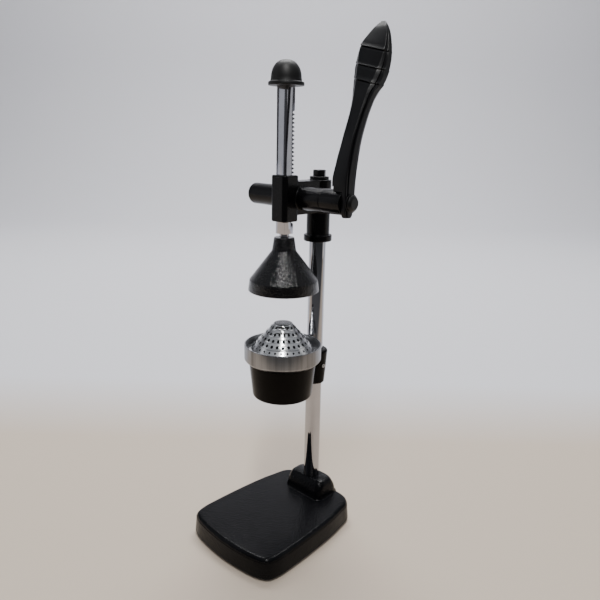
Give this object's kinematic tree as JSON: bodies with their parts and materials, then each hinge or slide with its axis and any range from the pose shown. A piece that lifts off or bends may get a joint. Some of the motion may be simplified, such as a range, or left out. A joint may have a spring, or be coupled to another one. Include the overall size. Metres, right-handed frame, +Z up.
{
  "type": "lever citrus juice press",
  "caption": "Upright hand press for citrus halves: a side lever turns a pinion that drives a square rack and hollow cone down onto a strainer over a bowl.",
  "frame": {"origin": "where the press axis meets the flat top of the base, where the glass stands", "axes": "+Z up along the ram; -Y towards the user, with the column behind the press axis at +Y; +X to the lever's side"},
  "size_m": [0.1443, 0.1615, 0.5423],
  "materials": {
    "cast_black_paint": "semi-gloss black paint on a casting",
    "hammered_black_paint": "pebbled semi-gloss black paint",
    "lever_black_paint": "satin black paint on a casting",
    "moulded_black": "matte moulded black",
    "rubber": "matte black rubber",
    "chrome_tube": "mirror chrome",
    "plated_steel": "satin plated steel, drawn along its length",
    "zinc_steel": "dull zinc plate",
    "black_steel": "black oxide",
    "bronze": "sintered bronze",
    "spun_aluminium": "turned and polished aluminium",
    "polished_steel": "polished perforated sheet"
  },
  "bodies": {
    "frame": {"base_casting": "cast_black_paint", "foot_front_left": "rubber", "foot_screw_front_left": "zinc_steel", "foot_front_right": "rubber", "foot_screw_front_right": "zinc_steel", "foot_rear_right": "rubber", "foot_screw_rear_right": "zinc_steel", "foot_rear_left": "rubber", "foot_screw_rear_left": "zinc_steel", "column_tube": "chrome_tube", "column_lower_plug": "zinc_steel", "column_upper_plug": "zinc_steel", "base_washer": "zinc_steel", "base_bolt": "zinc_steel", "head_casting": "cast_black_paint", "head_washer": "black_steel", "head_bolt": "black_steel", "shaft_bush_left": "bronze", "shaft_bush_right": "bronze"},
    "holder": {"bowl_holder": "hammered_black_paint", "holder_set_screw": "black_steel"},
    "pan": {"strainer_pan": "spun_aluminium"},
    "strainer": {"strainer_cone": "polished_steel"},
    "lever": {"pinion_shaft": "plated_steel", "pinion_gear": "plated_steel", "pinion_key": "zinc_steel", "lever_hub": "cast_black_paint", "lever_arm": "lever_black_paint", "lever_washer": "black_steel", "lever_bolt": "black_steel"},
    "ram": {"ram_rack": "plated_steel", "ram_cap": "moulded_black", "press_cone": "hammered_black_paint", "cone_washer": "zinc_steel", "cone_nut": "zinc_steel"}
  },
  "joints": [
    {"name": "lever_turn", "type": "hinge", "parent": "frame", "child": "lever", "pos_m": [0.0535, 0.01625, 0.351], "axis": [1, 0, 0], "range_deg": [-80, 275]},
    {"name": "ram_slide", "type": "slide", "parent": "frame", "child": "ram", "axis": [0, 0, -1], "range_m": [-0.0158, 0.0541]},
    {"name": "holder_slide", "type": "slide", "parent": "frame", "child": "holder", "axis": [0, 0, 1], "range_m": [-0.06, 0]},
    {"name": "pan_lift", "type": "slide", "parent": "holder", "child": "pan", "axis": [0, 0, 1], "range_m": [0, 0.004]},
    {"name": "strainer_lift", "type": "slide", "parent": "pan", "child": "strainer", "axis": [0, 0, 1], "range_m": [0, 0.004]}
  ],
  "couplings": [
    {"joint": "ram_slide", "follows": "lever_turn", "m_per_rad": 0.01125}
  ]
}
